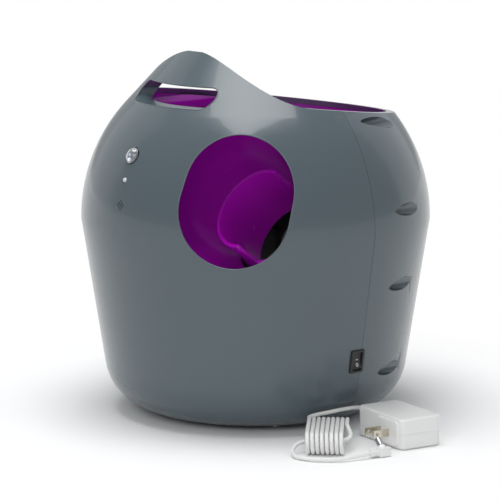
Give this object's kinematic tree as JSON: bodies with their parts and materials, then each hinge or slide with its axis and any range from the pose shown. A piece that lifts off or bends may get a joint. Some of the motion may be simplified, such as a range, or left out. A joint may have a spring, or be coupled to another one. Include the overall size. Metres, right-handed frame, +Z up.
{
  "type": "automatic dog ball launcher",
  "caption": "Floor-standing ball launcher for dogs: open bucket on top, chute to a sprung plunger drive, tilting nozzle in a side opening, carry slot, and a power adapter on a tied cord.",
  "frame": {"origin": "on the floor under the middle of the round body", "axes": "+Z up, -Y towards the front with the sensor, +X towards the side with the power switch"},
  "size_m": [0.385, 0.32, 0.334],
  "materials": {
    "shell": "glossy slate grey",
    "purple": "glossy deep purple",
    "steel": "bare steel",
    "black": "black moulded plastic",
    "piston": "natural moulded plastic",
    "spring": "spring wire",
    "bronze": "sintered bush",
    "bracket": "black painted sheet",
    "lens": "clear lens",
    "light": "clear light",
    "board": "circuit board",
    "rocker": "black rocker",
    "contact": "plated contacts",
    "base": "dark grey moulded plastic",
    "rubber": "soft black feet",
    "white": "white moulded plastic",
    "blade": "plated blades",
    "cord": "white flexible jacket"
  },
  "bodies": {
    "root": {"front_shell": "shell", "rear_shell": "shell", "ball_bucket": "purple", "launch_bowl": "purple", "launch_barrel": "black", "launch_spring": "spring", "shaft_bush": "bronze", "gear_motor": "steel", "drive_frame": "bracket", "barrel_cradle": "bracket", "feed_chute": "black", "lever_pin": "steel", "lever_switch": "black", "sensor_lens": "lens", "status_light": "light", "sensor_board": "board", "speaker": "black", "switch_housing": "black", "power_jack": "black", "dial_body": "black", "control_board": "board", "battery_tray": "black", "battery_contacts": "contact", "base_plate": "base", "door_pin": "steel", "rubber_feet": "rubber", "shell_screws": "steel", "base_screws": "steel", "adapter_body": "white", "adapter_blades": "blade", "strain_relief": "white", "cord_lead": "cord", "cord_hank": "cord", "cord_tail": "cord", "barrel_plug": "white"},
    "nozzle": {"nozzle": "purple", "nozzle_pins": "steel"},
    "plunger": {"plunger": "piston"},
    "gear": {"sector_gear": "steel", "drive_shaft": "steel"},
    "rocker": {"rocker": "rocker"},
    "dial": {"distance_dial": "black"},
    "door": {"battery_door": "base"},
    "lever": {"ball_lever": "black"}
  },
  "joints": [
    {"name": "nozzle_tilt", "type": "hinge", "parent": "root", "child": "nozzle", "pos_m": [0.0985, -0.054, 0.18], "axis": [1, 0, 0], "range_deg": [0, 14]},
    {"name": "gear_turn", "type": "hinge", "parent": "root", "child": "gear", "pos_m": [0.05738, 0.07254, 0.10143], "axis": [-0.9511, -0.309, 0], "range_deg": [0, 190]},
    {"name": "plunger_slide", "type": "slide", "parent": "root", "child": "plunger", "axis": [-0.2865, 0.8818, -0.3746], "range_m": [0, 0.0497], "stiffness_N_per_m": 300, "springref_m": -0.01, "deforming": ["launch_spring"]},
    {"name": "rocker_tilt", "type": "hinge", "parent": "root", "child": "rocker", "pos_m": [0.13881, -0.00485, 0.06554], "axis": [0.0349, 0.9994, 0], "range_deg": [0, 24]},
    {"name": "dial_turn", "type": "hinge", "parent": "root", "child": "dial", "pos_m": [0, 0.14782, 0.1], "axis": [0, 0.988, -0.1543], "range_deg": [0, 240]},
    {"name": "door_swing", "type": "hinge", "parent": "root", "child": "door", "pos_m": [-0.05145, 0, 0.004], "axis": [0, 1, 0], "range_deg": [0, 100]},
    {"name": "lever_tip", "type": "hinge", "parent": "root", "child": "lever", "pos_m": [0.03497, 0.00949, 0.19], "axis": [0, 1, 0], "range_deg": [0, 24], "stiffness_Nm_per_rad": 0.01, "springref_deg": -11.46}
  ],
  "couplings": [
    {"joint": "gear_turn", "follows": "plunger_slide", "rad_per_m": 66.667}
  ]
}
